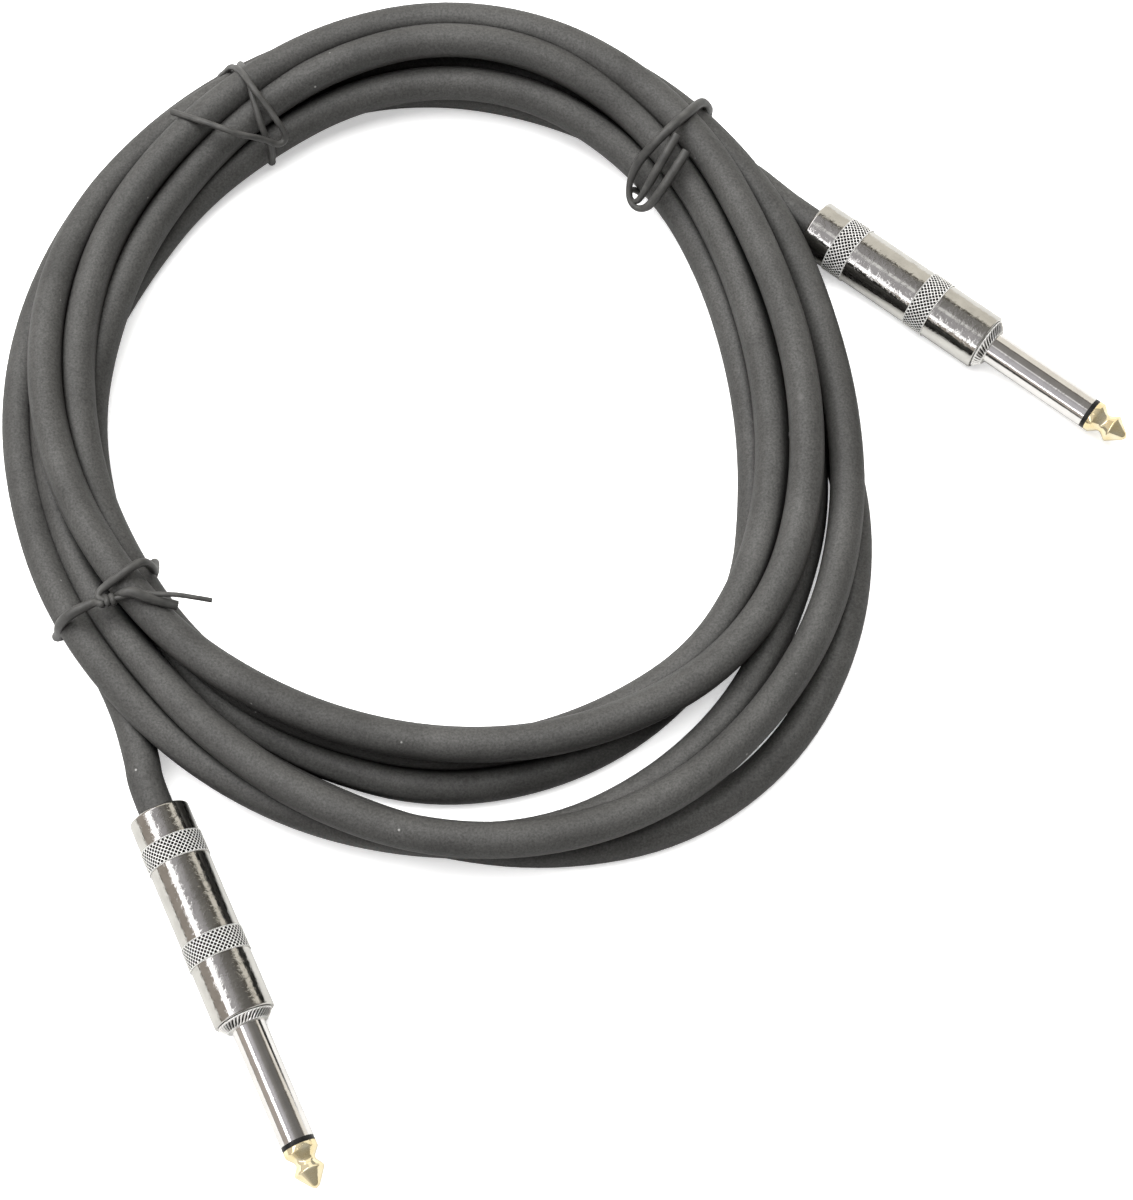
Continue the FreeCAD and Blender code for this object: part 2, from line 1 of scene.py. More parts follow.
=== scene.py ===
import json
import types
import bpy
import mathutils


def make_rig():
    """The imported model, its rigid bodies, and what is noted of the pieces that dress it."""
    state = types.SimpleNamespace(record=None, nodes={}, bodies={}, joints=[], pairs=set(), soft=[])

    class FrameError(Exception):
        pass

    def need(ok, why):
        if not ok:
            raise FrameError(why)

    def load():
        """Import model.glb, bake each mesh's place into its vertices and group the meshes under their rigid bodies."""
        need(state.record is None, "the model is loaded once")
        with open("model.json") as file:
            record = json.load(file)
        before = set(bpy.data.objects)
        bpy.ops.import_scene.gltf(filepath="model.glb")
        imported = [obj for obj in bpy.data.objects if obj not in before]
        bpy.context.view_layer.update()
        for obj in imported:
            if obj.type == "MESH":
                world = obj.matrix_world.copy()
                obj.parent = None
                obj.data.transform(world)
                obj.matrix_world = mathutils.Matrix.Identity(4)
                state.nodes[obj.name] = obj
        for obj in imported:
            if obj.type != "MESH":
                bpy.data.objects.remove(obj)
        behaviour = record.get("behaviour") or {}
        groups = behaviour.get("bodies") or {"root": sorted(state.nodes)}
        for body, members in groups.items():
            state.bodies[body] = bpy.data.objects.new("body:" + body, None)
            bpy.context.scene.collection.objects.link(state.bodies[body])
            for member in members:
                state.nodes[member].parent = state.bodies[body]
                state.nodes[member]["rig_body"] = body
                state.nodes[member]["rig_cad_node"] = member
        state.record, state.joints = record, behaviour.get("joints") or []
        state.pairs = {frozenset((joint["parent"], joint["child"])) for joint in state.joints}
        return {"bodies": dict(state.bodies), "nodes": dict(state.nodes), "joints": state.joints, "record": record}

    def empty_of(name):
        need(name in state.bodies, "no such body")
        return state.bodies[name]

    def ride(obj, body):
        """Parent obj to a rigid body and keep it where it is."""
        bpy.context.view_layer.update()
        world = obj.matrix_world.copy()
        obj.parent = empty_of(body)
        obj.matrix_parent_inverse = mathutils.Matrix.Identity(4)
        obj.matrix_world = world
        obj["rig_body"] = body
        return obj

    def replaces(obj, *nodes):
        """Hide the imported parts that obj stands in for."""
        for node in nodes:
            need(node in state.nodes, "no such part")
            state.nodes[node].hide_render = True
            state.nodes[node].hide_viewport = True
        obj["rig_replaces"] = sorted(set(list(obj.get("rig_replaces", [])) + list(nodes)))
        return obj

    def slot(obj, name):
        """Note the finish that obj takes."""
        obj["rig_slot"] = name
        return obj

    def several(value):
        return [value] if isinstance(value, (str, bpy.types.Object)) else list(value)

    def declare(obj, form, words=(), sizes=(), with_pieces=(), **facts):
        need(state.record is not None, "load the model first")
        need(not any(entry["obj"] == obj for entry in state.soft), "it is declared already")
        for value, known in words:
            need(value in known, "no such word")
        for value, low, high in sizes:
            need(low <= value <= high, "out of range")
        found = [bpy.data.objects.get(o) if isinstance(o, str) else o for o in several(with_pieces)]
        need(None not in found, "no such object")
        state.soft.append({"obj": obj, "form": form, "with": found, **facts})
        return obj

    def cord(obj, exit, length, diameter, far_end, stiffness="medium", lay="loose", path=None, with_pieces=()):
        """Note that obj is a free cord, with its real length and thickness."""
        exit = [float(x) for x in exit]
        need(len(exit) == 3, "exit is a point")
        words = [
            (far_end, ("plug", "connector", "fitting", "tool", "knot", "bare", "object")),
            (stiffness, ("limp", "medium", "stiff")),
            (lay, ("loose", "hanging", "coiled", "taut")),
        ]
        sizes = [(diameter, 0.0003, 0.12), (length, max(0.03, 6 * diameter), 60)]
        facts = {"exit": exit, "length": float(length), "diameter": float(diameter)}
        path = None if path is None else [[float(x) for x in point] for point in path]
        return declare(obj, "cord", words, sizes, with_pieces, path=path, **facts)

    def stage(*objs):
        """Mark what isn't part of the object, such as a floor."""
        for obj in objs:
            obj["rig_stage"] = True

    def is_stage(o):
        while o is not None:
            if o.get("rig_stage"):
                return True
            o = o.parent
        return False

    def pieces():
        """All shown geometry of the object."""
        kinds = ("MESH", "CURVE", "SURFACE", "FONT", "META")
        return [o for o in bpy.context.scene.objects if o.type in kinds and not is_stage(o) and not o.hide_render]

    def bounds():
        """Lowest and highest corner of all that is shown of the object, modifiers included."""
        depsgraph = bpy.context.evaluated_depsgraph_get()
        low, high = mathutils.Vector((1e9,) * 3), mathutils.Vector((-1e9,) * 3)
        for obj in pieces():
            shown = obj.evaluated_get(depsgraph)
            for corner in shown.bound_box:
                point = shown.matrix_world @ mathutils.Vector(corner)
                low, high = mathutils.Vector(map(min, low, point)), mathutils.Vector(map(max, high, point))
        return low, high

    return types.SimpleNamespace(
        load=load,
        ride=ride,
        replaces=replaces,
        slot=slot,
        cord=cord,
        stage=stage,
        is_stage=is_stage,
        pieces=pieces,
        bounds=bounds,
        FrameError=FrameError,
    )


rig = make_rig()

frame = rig.load()
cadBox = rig.bounds()

import json
import math

import bmesh
import bpy
from mathutils import Matrix, Vector

mm = 0.001
print("frame loaded")


# the camera looks down from the front, from half a metre, with the frame's long side upright
cameraView = {
    "place": (-0.0056, -0.17985, 0.48864),
    "tilt": 20.0,
    "lens": 80.1,
    "sensor": 36.0,
    "clip": (0.01, 20.0),
}


def makeCamera():
    lens = bpy.data.cameras.new("camera")
    lens.lens = cameraView["lens"]
    lens.sensor_width = cameraView["sensor"]
    lens.clip_start, lens.clip_end = cameraView["clip"]
    camera = bpy.data.objects.new("camera", lens)
    camera.location = cameraView["place"]
    camera.rotation_euler = (math.radians(cameraView["tilt"]), 0, 0)
    bpy.context.scene.collection.objects.link(camera)
    bpy.context.scene.camera = camera


makeCamera()
print("camera set")


# where the two plugs lie: middle of the barrel's rear rim, and which way the tip points
plugPlaces = {
    1: {"rim": (44.6, 76.3, 6.0), "heading": -37.9},
    2: {"rim": (-81.85, -46.8, 6.0), "heading": -65.2},
}


def plugFrame(number):
    place = plugPlaces[number]
    turn = Matrix.Rotation(math.radians(place["heading"]), 4, "Z")
    return Matrix.Translation(Vector(place["rim"]) * mm) @ turn


def onPlug(number, along, aside=0.0):
    return plugFrame(number) @ Vector((along * mm, aside * mm, 0))


# materials are made from noise and cells on Object coordinates
def startMaterial(name):
    material = bpy.data.materials.new(name)
    material.use_nodes = True
    tree = material.node_tree
    coords = tree.nodes.new("ShaderNodeTexCoord")
    return material, tree, tree.nodes["Principled BSDF"], coords.outputs["Object"]


def noiseOn(tree, place, scale, detail=3.0, roughness=0.5):
    noise = tree.nodes.new("ShaderNodeTexNoise")
    noise.inputs["Scale"].default_value = scale
    noise.inputs["Detail"].default_value = detail
    noise.inputs["Roughness"].default_value = roughness
    tree.links.new(place, noise.inputs["Vector"])
    return noise.outputs["Fac"]


def rampOn(tree, value, stops):
    ramp = tree.nodes.new("ShaderNodeValToRGB")
    elements = ramp.color_ramp.elements
    while len(elements) < len(stops):
        elements.new(0.5)
    for element, (position, colour) in zip(elements, stops):
        element.position = position
        element.color = (*colour, 1)
    tree.links.new(value, ramp.inputs["Fac"])
    return ramp.outputs["Color"]


def rangeOn(tree, value, low, high, start=0.0, end=1.0):
    spread = tree.nodes.new("ShaderNodeMapRange")
    for name, number in (("From Min", start), ("From Max", end), ("To Min", low), ("To Max", high)):
        spread.inputs[name].default_value = number
    tree.links.new(value, spread.inputs["Value"])
    return spread.outputs["Result"]


def mathOn(tree, how, first, second):
    result = tree.nodes.new("ShaderNodeMath")
    result.operation = how
    tree.links.new(first, result.inputs[0])
    tree.links.new(second, result.inputs[1])
    return result.outputs["Value"]


def mixOn(tree, factor, first, second):
    mix = tree.nodes.new("ShaderNodeMix")
    mix.data_type = "RGBA"
    tree.links.new(factor, mix.inputs[0])
    for socket, colour in ((mix.inputs[6], first), (mix.inputs[7], second)):
        if isinstance(colour, tuple):
            socket.default_value = (*colour, 1)
        else:
            tree.links.new(colour, socket)
    return mix.outputs[2]


def scaledOn(tree, colour, factor):
    scaled = tree.nodes.new("ShaderNodeVectorMath")
    scaled.operation = "SCALE"
    tree.links.new(colour, scaled.inputs[0])
    tree.links.new(factor, scaled.inputs["Scale"])
    return scaled.outputs["Vector"]


def spotsOn(tree, place, scale, edge, share, strength):
    # round spots in the cells whose random number is high
    cells = tree.nodes.new("ShaderNodeTexVoronoi")
    cells.inputs["Scale"].default_value = scale
    tree.links.new(place, cells.inputs["Vector"])
    spot = rangeOn(tree, cells.outputs["Distance"], strength, 0.0, *edge)
    chosen = rangeOn(tree, cells.outputs["Color"], 0.0, 1.0, *share)
    return mathOn(tree, "MULTIPLY", spot, chosen)


def bumpOn(tree, shader, height, distance, strength=1.0):
    bump = tree.nodes.new("ShaderNodeBump")
    bump.inputs["Distance"].default_value = distance
    bump.inputs["Strength"].default_value = strength
    tree.links.new(height, bump.inputs["Height"])
    tree.links.new(bump.outputs["Normal"], shader.inputs["Normal"])


jacketLook = {
    "dark": (0.033, 0.0325, 0.0310), "light": (0.0525, 0.0517, 0.0492), "toneScale": 55,
    "grain": 0.42, "grainScale": 2300,
    # spots: cells to the metre, where a spot begins to fade and ends, and which cells have one
    "dust": (0.26, 0.26, 0.25), "dustScale": 640, "dustEdge": (0.07, 0.19), "dustShare": (0.90, 0.93),
    "scuff": (0.115, 0.113, 0.108), "scuffScale": 150, "scuffEdge": (0.04, 0.16), "scuffShare": (0.90, 0.93),
    "scuffStrength": 0.55,
    # painted shade where strands touch: its tone, how near they are, and the range of openness that it spans
    "creaseShadeTone": 0.08, "creaseReach": 0.0035, "creaseSamples": 6, "creaseSpan": (0.2, 0.6),
    "rough": (0.46, 0.62), "roughScale": 260, "gloss": 0.4,
    "bumpScale": 1900, "bumpDepth": 0.00006, "bumpStrength": 0.6,
}


def jacketRubber():
    look = jacketLook
    material, tree, shader, place = startMaterial("jacket_rubber")
    tone = rampOn(tree, noiseOn(tree, place, look["toneScale"], 4, 0.6),
                  [(0.3, look["dark"]), (0.7, look["light"])])
    grain = rangeOn(tree, noiseOn(tree, place, look["grainScale"], 3, 0.7),
                    1 - look["grain"], 1 + look["grain"], 0.3, 0.7)
    tone = scaledOn(tree, tone, grain)
    rubbed = spotsOn(tree, place, look["scuffScale"], look["scuffEdge"], look["scuffShare"],
                     look["scuffStrength"])
    dusty = spotsOn(tree, place, look["dustScale"], look["dustEdge"], look["dustShare"], 1.0)
    tone = mixOn(tree, dusty, mixOn(tree, rubbed, tone, look["scuff"]), look["dust"])
    # painted shade: the rubber's colour is darkened where strands lie close together
    openness = tree.nodes.new("ShaderNodeAmbientOcclusion")
    openness.only_local = True
    openness.samples = look["creaseSamples"]
    openness.inputs["Distance"].default_value = look["creaseReach"]
    creaseShade = rangeOn(tree, openness.outputs["AO"], look["creaseShadeTone"], 1.0, *look["creaseSpan"])
    tree.links.new(scaledOn(tree, tone, creaseShade), shader.inputs["Base Color"])
    rough = rangeOn(tree, noiseOn(tree, place, look["roughScale"], 3), *look["rough"])
    tree.links.new(rough, shader.inputs["Roughness"])
    bumps = noiseOn(tree, place, look["bumpScale"], 4, 0.6)
    bumpOn(tree, shader, bumps, look["bumpDepth"], look["bumpStrength"])
    shader.inputs["Specular IOR Level"].default_value = look["gloss"]
    return material


# each metal's two tones, its roughness, the depth and scale of the fine ripple in its surface,
# and the scale of the patches that the ripple comes in
metalLooks = {
    "nickel_barrel": {
        "dull": (0.62, 0.605, 0.575), "bright": (0.72, 0.705, 0.67), "rough": (0.05, 0.10),
        "ripple": 0.000021, "rippleScale": 5000, "patchScale": 1100},
    "nickel_shank": {
        "dull": (0.88, 0.86, 0.84), "bright": (0.96, 0.94, 0.92), "rough": (0.07, 0.12),
        "ripple": 0.000010, "rippleScale": 2400, "patchScale": 300},
    "gold_contact": {
        "dull": (0.94, 0.76, 0.40), "bright": (1.0, 0.91, 0.66), "rough": (0.05, 0.09),
        "ripple": 0.000016, "rippleScale": 2400, "patchScale": 300, "metallic": 0.86},
    "tinned_brass": {
        "dull": (0.62, 0.58, 0.48), "bright": (0.76, 0.73, 0.64), "rough": (0.22, 0.42),
        "ripple": 0.000010, "rippleScale": 1800, "patchScale": 190},
    "copper": {
        "dull": (0.62, 0.30, 0.17), "bright": (0.84, 0.46, 0.28), "rough": (0.22, 0.40),
        "ripple": 0.000020, "rippleScale": 1800, "patchScale": 190},
    "solder": {
        "dull": (0.50, 0.50, 0.49), "bright": (0.70, 0.70, 0.69), "rough": (0.16, 0.36),
        "ripple": 0.000030, "rippleScale": 1500, "patchScale": 190},
}
# what all metals share
metalGrain = {
    "toneScale": 320, "toneSpan": (0.35, 0.65), "roughScale": 900, "roughSpan": (0.35, 0.7),
    "patchSpan": (0.48, 0.60), "calm": 0.10,  # how much of the ripple stays between its patches
}
# crests of the knurling and the collar get a pale tone as a painted highlight, and their pits a dark tone as painted
# shade
crestHighlightPitShade = {
    "tone": (0.93, 0.925, 0.90), "metallic": 0.5, "rough": 0.40, "share": 0.9,
    "pitShade": (0.035, 0.033, 0.031), "pitSpan": (-0.1, -0.9),
}


# paints a highlight on the crests and shade in the pits, from the relief number
def paintCrestHighlightPitShade(tree, shader, tone, rough, metallic):
    # the meshes carry a relief number: about 1 on a crest, below 0 in a pit, 0 on plain metal
    relief = tree.nodes.new("ShaderNodeAttribute")
    relief.attribute_name = "relief"
    crestHighlight = rangeOn(tree, relief.outputs["Fac"], 0.0, 1.0, 0.0, crestHighlightPitShade["share"])
    pitShade = rangeOn(tree, relief.outputs["Fac"], 0.0, 1.0, *crestHighlightPitShade["pitSpan"])
    # painted highlight on the crests, painted shade in the pits
    tone = mixOn(tree, pitShade, mixOn(tree, crestHighlight, tone, crestHighlightPitShade["tone"]), crestHighlightPitShade["pitShade"])
    tree.links.new(rangeOn(tree, crestHighlight, metallic, crestHighlightPitShade["metallic"]), shader.inputs["Metallic"])
    dulled = tree.nodes.new("ShaderNodeMix")
    tree.links.new(mathOn(tree, "MAXIMUM", crestHighlight, pitShade), dulled.inputs[0])
    tree.links.new(rough, dulled.inputs[2])
    dulled.inputs[3].default_value = crestHighlightPitShade["rough"]
    return tone, dulled.outputs[0]


def metal(name):
    look = metalLooks[name]
    grain = metalGrain
    material, tree, shader, place = startMaterial(name)
    low, high = grain["toneSpan"]
    clouds = noiseOn(tree, place, grain["toneScale"], 4)
    tone = rampOn(tree, clouds, [(low, look["dull"]), (high, look["bright"])])
    wear = noiseOn(tree, place, grain["roughScale"], 3)
    rough = rangeOn(tree, wear, *look["rough"], *grain["roughSpan"])
    metallic = look.get("metallic", 1.0)
    shader.inputs["Metallic"].default_value = metallic
    # nickel pieces get the painted highlight on crests and painted shade in pits
    if name.startswith("nickel"):
        tone, rough = paintCrestHighlightPitShade(tree, shader, tone, rough, metallic)
    tree.links.new(tone, shader.inputs["Base Color"])
    tree.links.new(rough, shader.inputs["Roughness"])
    ripple = noiseOn(tree, place, look["rippleScale"], 3, 0.65)
    patches = noiseOn(tree, place, look["patchScale"], 3)
    patches = rangeOn(tree, patches, grain["calm"], 1.0, *grain["patchSpan"])
    bumpOn(tree, shader, mathOn(tree, "MULTIPLY", ripple, patches), look["ripple"])
    return material


plasticLooks = {
    "black_plastic": {
        "dark": (0.006, 0.006, 0.006), "light": (0.014, 0.0135, 0.013), "rough": (0.18, 0.28), "gloss": 0.22},
    "core_plastic": {"dark": (0.62, 0.60, 0.54), "light": (0.78, 0.76, 0.70), "rough": (0.35, 0.5)},
    "liner_plastic": {"dark": (0.74, 0.74, 0.72), "light": (0.84, 0.84, 0.82), "rough": (0.2, 0.35)},
    "tie_plastic": {"dark": (0.034, 0.0335, 0.032), "light": (0.056, 0.055, 0.052), "rough": (0.36, 0.48)},
}
# what all plastics share
plasticGrain = {
    "toneScale": 500, "toneSpan": (0.35, 0.7), "roughScale": 1400,
    "bumpScale": 3000, "bumpDepth": 0.00003, "bumpStrength": 0.4,
}


def plastic(name):
    look = plasticLooks[name]
    grain = plasticGrain
    material, tree, shader, place = startMaterial(name)
    low, high = grain["toneSpan"]
    clouds = noiseOn(tree, place, grain["toneScale"], 3)
    tone = rampOn(tree, clouds, [(low, look["dark"]), (high, look["light"])])
    tree.links.new(tone, shader.inputs["Base Color"])
    rough = rangeOn(tree, noiseOn(tree, place, grain["roughScale"], 3), *look["rough"])
    tree.links.new(rough, shader.inputs["Roughness"])
    shader.inputs["Specular IOR Level"].default_value = look.get("gloss", 0.5)
    bumps = noiseOn(tree, place, grain["bumpScale"], 3)
    bumpOn(tree, shader, bumps, grain["bumpDepth"], grain["bumpStrength"])
    return material


looks = {"jacket_rubber": jacketRubber()}
looks.update({name: metal(name) for name in metalLooks})
looks.update({name: plastic(name) for name in plasticLooks})
print("materials made")


def finishPiece(piece, body, slot, *nodes):
    piece.data.materials.clear()
    piece.data.materials.append(looks[slot])
    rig.ride(piece, body)
    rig.slot(piece, slot)
    if nodes:
        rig.replaces(piece, *nodes)
    return piece


# the cord is one spline from plug 1 round the coil to plug 2
cord = {
    "thickness": 6.8,
    "length": 3.22,
    "middle": (-31.6, 34.4),
    "startAngle": 45.0,
    "stationTurn": 15.0,  # degrees from one station to the next
    "widen": 1.0086,      # a control point lies this much outside its turn
    # (along, aside) of the stations in and behind each plug
    "plugStations": {
        1: [(19.85, 0), (4.0, 0), (-7.0, 0.0), (-11.0, 0.35), (-18.0, 0.9)],
        2: [(-11.0, 1.15), (-7.0, 0.0), (4.0, 0), (19.85, 0)],
    },
}

# radius and height at each station, read off the strands, one row to a turn
turns = [
    [(79.6, 5.2), (83.5, 5.0), (86.3, 4.0), (88.7, 3.8), (87.8, 4.8), (86.4, 5.3), (85.5, 4.7),
     (84.1, 4.9), (82.9, 5.7), (81.7, 7.1), (80.4, 9.3), (80.9, 11.4), (81.7, 10.6), (83.0, 8.4),
     (84.8, 8.0), (86.7, 9.1), (89.0, 9.8), (86.8, 7.8), (83.6, 6.4), (78.8, 5.6), (76.2, 5.6)],
    [(72.6, 5.8), (71.5, 7.4), (72.9, 9.4), (76.1, 9.8), (78.0, 6.7), (80.0, 4.7), (81.1, 4.2),
     (80.6, 4.8), (79.6, 5.3), (79.3, 5.7), (78.8, 7.0), (77.7, 8.5), (75.8, 9.1), (75.0, 9.7),
     (75.1, 10.8), (75.1, 11.8), (78.4, 13.3), (83.0, 14.5), (87.9, 15.3), (91.2, 16.1), (91.7, 13.5),
     (89.3, 11.6), (86.6, 10.4), (82.9, 9.2)],
    [(79.8, 8.4), (78.5, 8.4), (79.6, 9.7), (80.6, 11.5), (83.2, 10.7), (85.6, 9.6), (86.6, 9.1),
     (84.6, 9.1), (83.2, 9.7), (82.3, 10.6), (81.1, 12.2), (78.4, 14.2), (74.9, 15.3), (71.8, 16.2),
     (69.4, 16.6), (68.4, 15.1), (67.4, 14.3), (67.9, 14.1), (69.4, 13.7), (71.8, 13.7), (74.4, 13.8),
     (76.7, 13.2), (76.7, 12.3), (74.2, 13.8)],
    [(72.0, 15.0), (71.2, 15.2), (72.3, 15.4), (76.4, 15.6), (80.5, 15.9), (84.0, 15.8), (85.0, 15.4),
     (83.2, 14.8), (79.8, 14.6), (76.8, 14.2), (74.6, 13.6), (71.8, 13.0), (69.0, 12.9), (67.5, 11.1),
     (66.4, 10.7), (67.0, 9.4), (67.5, 8.1), (67.8, 7.6), (69.4, 7.0), (70.0, 7.2), (70.9, 8.3),
     (72.1, 9.3), (70.3, 9.4), (67.7, 9.4)],
    [(65.7, 9.2), (65.4, 9.4), (67.2, 10.3), (70.8, 11.8), (75.6, 13.0), (78.4, 16.4), (78.9, 17.4),
     (77.0, 15.6), (74.8, 11.9), (71.4, 10.2), (68.9, 10.1), (67.6, 8.8), (67.9, 6.6), (67.5, 4.9),
     (68.1, 5.3), (69.8, 4.8), (71.4, 3.7), (72.8, 3.4), (75.3, 3.4), (75.6, 3.4), (74.8, 3.4),
     (72.6, 3.4), (70.0, 3.4), (64.8, 3.4)],
    [(62.3, 3.4), (61.9, 3.7), (63.7, 4.6), (67.1, 6.2), (69.3, 9.6), (72.4, 10.1), (73.2, 10.0),
     (72.0, 8.8), (70.2, 6.4), (69.8, 4.4), (68.9, 3.5), (70.2, 3.4), (72.2, 3.5), (72.8, 4.4),
     (73.7, 5.3), (75.5, 4.8), (77.1, 3.7), (79.7, 3.4), (84.7, 3.4), (90.6, 3.4), (95.7, 3.4),
     (95.7, 3.4), (91.5, 3.4), (85.3, 3.4)],
    [(77.8, 3.4), (76.2, 3.4), (75.6, 4.3), (72.7, 5.2), (72.6, 5.0), (73.5, 4.0), (74.8, 3.6),
     (74.7, 4.8), (73.8, 5.3), (73.8, 4.4), (74.3, 3.5), (75.3, 3.4), (77.5, 3.5), (78.1, 4.4),
     (78.6, 5.3), (81.4, 4.4)],
]


def cordPoints():
    middleX, middleY = cord["middle"]
    points = [onPlug(1, along, aside) for along, aside in cord["plugStations"][1]]
    angle = math.radians(cord["startAngle"])
    for row in turns:
        for radius, height in row:
            wide = radius * cord["widen"]
            place = (middleX + wide * math.cos(angle), middleY + wide * math.sin(angle), height)
            points.append(Vector(place) * mm)
            angle += math.radians(cord["stationTurn"])
    points += [onPlug(2, along, aside) for along, aside in cord["plugStations"][2]]
    return points


def roundWire(name, points, thickness, sides):
    curve = bpy.data.curves.new(name, "CURVE")
    curve.dimensions = "3D"
    spline = curve.splines.new("NURBS")
    spline.points.add(len(points) - 1)
    for point, place in zip(spline.points, points):
        point.co = (*place, 1)
    spline.order_u = 3
    spline.use_endpoint_u = True
    spline.resolution_u = 8
    curve.bevel_depth = thickness / 2 * mm
    curve.bevel_resolution = sides
    curve.use_fill_caps = True
    wire = bpy.data.objects.new(name, curve)
    bpy.context.scene.collection.objects.link(wire)
    return wire


cordPiece = roundWire("cord", cordPoints(), cord["thickness"], 8)
finishPiece(cordPiece, "cable", "jacket_rubber", "coil", "lead_1", "lead_2", "jacket_end_1", "jacket_end_2")
print("cord laid")


# turned shapes are spun about the plug's axis, which runs along x from the barrel's rear rim
smallRounding = 0.3  # up to this radius a rounding has three facets, past it five
mergeGap = 0.002 * mm


def turnProfile(shape, profile, steps):
    # each corner is (along, radius, rounding)
    corners = [shape.verts.new((along * mm, 0, radius * mm)) for along, radius, rounding in profile]
    edges = [shape.edges.new(pair) for pair in zip(corners, corners[1:])]
    if profile[0][1]:
        # a profile that doesn't start on the axis is a closed ring
        edges.append(shape.edges.new((corners[-1], corners[0])))
    for corner, (along, radius, rounding) in zip(corners, profile):
        if rounding:
            facets = 5 if rounding > smallRounding else 3
            bmesh.ops.bevel(shape, geom=[corner], offset=rounding * mm, segments=facets,
                            profile=0.5, affect="VERTICES", material=-1)
    bmesh.ops.spin(shape, geom=shape.verts[:] + shape.edges[:], cent=(0, 0, 0), axis=(1, 0, 0), dvec=(0, 0, 0),
                   angle=math.tau, steps=steps, use_merge=True, use_duplicate=False)
    bmesh.ops.remove_doubles(shape, verts=shape.verts[:], dist=mergeGap)
    bmesh.ops.dissolve_degenerate(shape, dist=mergeGap / 2, edges=shape.edges[:])
    bmesh.ops.recalc_face_normals(shape, faces=shape.faces[:])
    for face in shape.faces:
        face.smooth = True


def placedPiece(name, shape, number):
    shape.transform(plugFrame(number))
    mesh = bpy.data.meshes.new(name)
    shape.to_mesh(mesh)
    shape.free()
    piece = bpy.data.objects.new(name, mesh)
    bpy.context.scene.collection.objects.link(piece)
    steady = piece.modifiers.new("steady", "WEIGHTED_NORMAL")
    steady.weight = 100
    steady.keep_sharp = True
    return piece


def addShape(shape, other):
    # puts another shape's faces into this one
    carrier = bpy.data.meshes.new("carrier")
    other.to_mesh(carrier)
    other.free()
    shape.from_mesh(carrier)
    bpy.data.meshes.remove(carrier)


def newVerts(made):
    return [item for item in made["geom"] if isinstance(item, bmesh.types.BMVert)]


barrel = {
    "length": 42.2, "radius": 5.8, "cableHole": 3.75, "rearWall": 1.5, "chamber": 4.8,
    "threadBore": 4.1, "threadBack": 34.7,
    "rearRounding": 0.5, "holeRounding": 0.25, "frontRounding": 0.22, "boreRounding": 0.15,
    # the two knurled bands sit in shallow grooves
    "bandStarts": (6.2, 26.1), "bandWidth": 4.5, "bandRadius": 6.0, "bandRoot": 5.5,
    "grooveDepth": 0.28, "grooveRounding": 0.06,
    # a band is a net of square pits: how many steps go round and along, and each pit's ridge and walls
    "bandAround": 84, "bandAlong": 10, "ridge": 0.085, "ridgeFall": 0.03, "pitWall": 0.05, "pitDepth": 0.2,
    # relief numbers of crests and pits, which the nickel turns into painted highlight on crests and painted shade in
    # pits
    "crestRelief": 1.0, "pitRelief": -3.0,
}


def knurledBand(start):
    b = barrel
    band = bmesh.new()
    around, along = b["bandAround"], b["bandAlong"]
    bmesh.ops.create_grid(band, x_segments=along, y_segments=around, size=0.5)
    pits = []
    for vert in band.verts:
        i = round((vert.co.x + 0.5) * along)
        j = round((vert.co.y + 0.5) * around)
        angle = math.tau * j / around
        if (i + j) % 2:
            pits.append(vert)
        vert.co = (start + b["bandWidth"] * i / along,
                   b["bandRadius"] * math.sin(angle), b["bandRadius"] * math.cos(angle))
    for vert in band.verts:
        vert.co *= mm
    pitPlaces = {tuple(round(c * 1e6) for c in vert.co) for vert in pits}
    bmesh.ops.remove_doubles(band, verts=band.verts[:], dist=0.01 * mm)
    isPit = {vert: tuple(round(c * 1e6) for c in vert.co) in pitPlaces for vert in band.verts}
    # every square is cut from crest to crest, and the corners between become the pits
    for face in band.faces[:]:
        crossing = [vert for vert in face.verts if not isPit[vert]]
        bmesh.utils.face_split(face, crossing[0], crossing[1])
    low, high = (start + 0.01) * mm, (start + b["bandWidth"] - 0.01) * mm
    middle = [vert for vert in band.verts if isPit[vert] and low < vert.co.x < high]
    bmesh.ops.dissolve_verts(band, verts=middle)
    bmesh.ops.recalc_face_normals(band, faces=band.faces[:])
    pitFaces = band.faces[:]
    bmesh.ops.inset_individual(band, faces=pitFaces, thickness=b["ridge"] * mm, depth=-b["ridgeFall"] * mm)
    bmesh.ops.inset_individual(band, faces=pitFaces, thickness=b["pitWall"] * mm, depth=-b["pitDepth"] * mm)
    # relief numbers for the painted highlight on crests and the painted shade in pits
    relief = band.verts.layers.float.new("relief")
    for vert in band.verts:
        vert[relief] = b["crestRelief"]
    for face in pitFaces:
        for vert in face.verts:
            vert[relief] = b["pitRelief"]
    rims = [edge for edge in band.edges if edge.is_boundary]
    for vert in newVerts(bmesh.ops.extrude_edge_only(band, edges=rims)):
        scale = b["bandRoot"] * mm / math.hypot(vert.co.y, vert.co.z)
        vert.co.y *= scale
        vert.co.z *= scale
    bmesh.ops.bridge_loops(band, edges=[edge for edge in band.edges if edge.is_boundary])
    bmesh.ops.recalc_face_normals(band, faces=band.faces[:])
    return band


